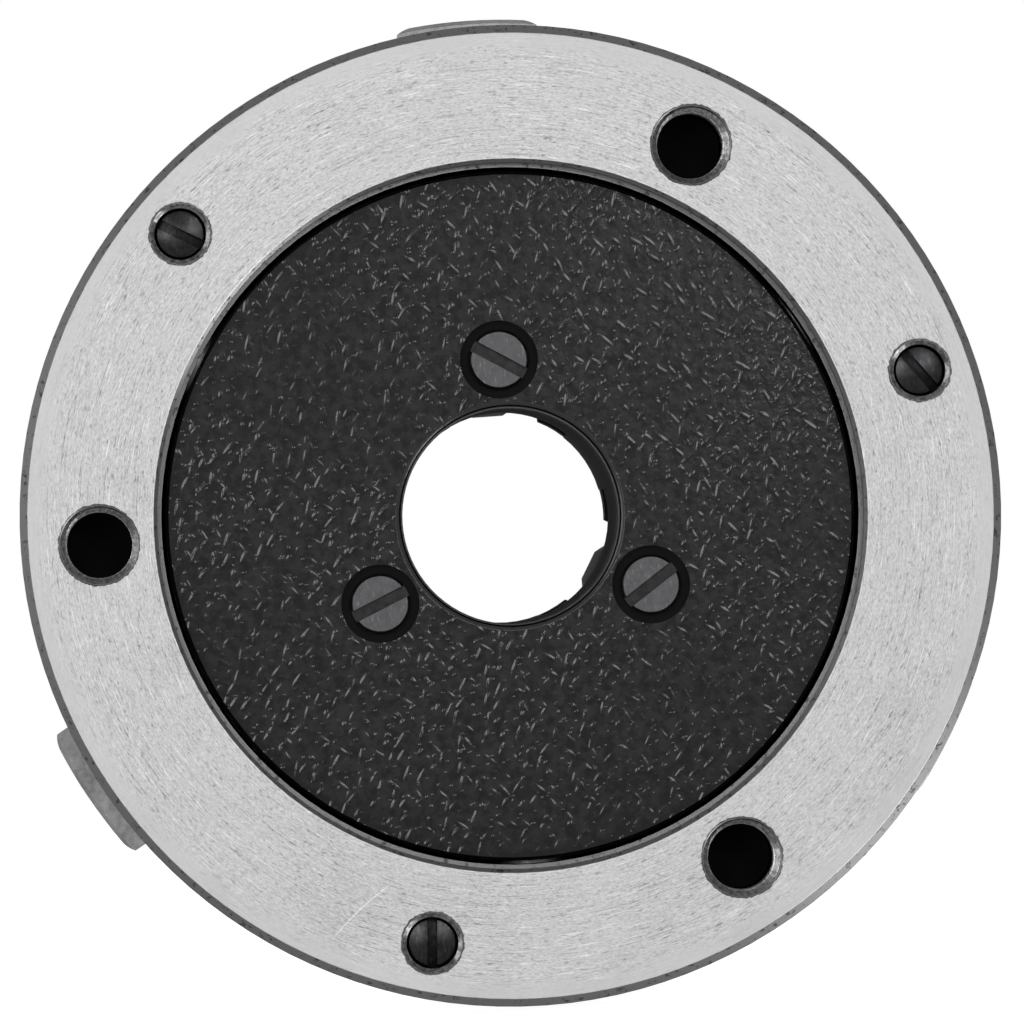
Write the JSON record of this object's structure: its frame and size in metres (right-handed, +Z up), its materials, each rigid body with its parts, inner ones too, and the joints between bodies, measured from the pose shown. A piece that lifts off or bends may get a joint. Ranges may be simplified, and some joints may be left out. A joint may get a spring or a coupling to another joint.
{
  "type": "lathe chuck",
  "caption": "Three-jaw self-centring scroll chuck with a recessed back for a spindle flange, key-driven pinions and stepped jaws.",
  "frame": {"origin": "centre of the back (mounting) face, on the spindle axis", "axes": "-Y out of the back face towards the spindle, +Y towards the jaws, +Z up through jaw 1"},
  "size_m": [0.1, 0.0745, 0.1024],
  "materials": {
    "ground_iron": "ground bright ring, darker oiled rim",
    "black_cast": "rough cast, black enamel",
    "black_screw": "blackened, satin",
    "machined_steel": "machined, oiled",
    "hardened_steel": "ground, hardened"
  },
  "bodies": {
    "housing": {"body": "ground_iron", "cover": "black_cast", "cover_screw_1": "black_screw", "cover_screw_2": "black_screw", "cover_screw_3": "black_screw", "pinion_retaining_screw_1": "black_screw", "pinion_retaining_screw_2": "black_screw", "pinion_retaining_screw_3": "black_screw"},
    "scroll": {"scroll": "machined_steel"},
    "jaw_1": {"jaw_1": "hardened_steel"},
    "jaw_2": {"jaw_2": "hardened_steel"},
    "jaw_3": {"jaw_3": "hardened_steel"},
    "pinion_1": {"pinion_1": "machined_steel"},
    "pinion_2": {"pinion_2": "machined_steel"},
    "pinion_3": {"pinion_3": "machined_steel"}
  },
  "joints": [
    {"name": "scroll_spin", "type": "hinge", "parent": "housing", "child": "scroll", "pos_m": [0, 0.03, 0], "axis": [0, -1, 0], "range_deg": [-240, 600]},
    {"name": "jaw_1_slide", "type": "slide", "parent": "housing", "child": "jaw_1", "axis": [0, 0, 1], "range_m": [-0.01001, 0.00401]},
    {"name": "jaw_2_slide", "type": "slide", "parent": "housing", "child": "jaw_2", "axis": [-0.866, 0, -0.5], "range_m": [-0.01001, 0.00401]},
    {"name": "jaw_3_slide", "type": "slide", "parent": "housing", "child": "jaw_3", "axis": [0.866, 0, -0.5], "range_m": [-0.01001, 0.00401]},
    {"name": "pinion_1_spin", "type": "hinge", "parent": "housing", "child": "pinion_1", "pos_m": [0.03724, 0.017, 0.0215], "axis": [0.866, 0, 0.5], "range_deg": [-1113, 2782]},
    {"name": "pinion_2_spin", "type": "hinge", "parent": "housing", "child": "pinion_2", "pos_m": [-0.03724, 0.017, 0.0215], "axis": [-0.866, 0, 0.5], "range_deg": [-1113, 2782]},
    {"name": "pinion_3_spin", "type": "hinge", "parent": "housing", "child": "pinion_3", "pos_m": [0, 0.017, -0.043], "axis": [0, 0, -1], "range_deg": [-1113, 2782]}
  ],
  "couplings": [
    {"joint": "jaw_1_slide", "follows": "scroll_spin", "m_per_rad": -0.00095493},
    {"joint": "jaw_2_slide", "follows": "scroll_spin", "m_per_rad": -0.00095493},
    {"joint": "jaw_3_slide", "follows": "scroll_spin", "m_per_rad": -0.00095493},
    {"joint": "pinion_1_spin", "follows": "scroll_spin", "ratio": 4.6364},
    {"joint": "pinion_2_spin", "follows": "scroll_spin", "ratio": 4.6364},
    {"joint": "pinion_3_spin", "follows": "scroll_spin", "ratio": 4.6364}
  ]
}
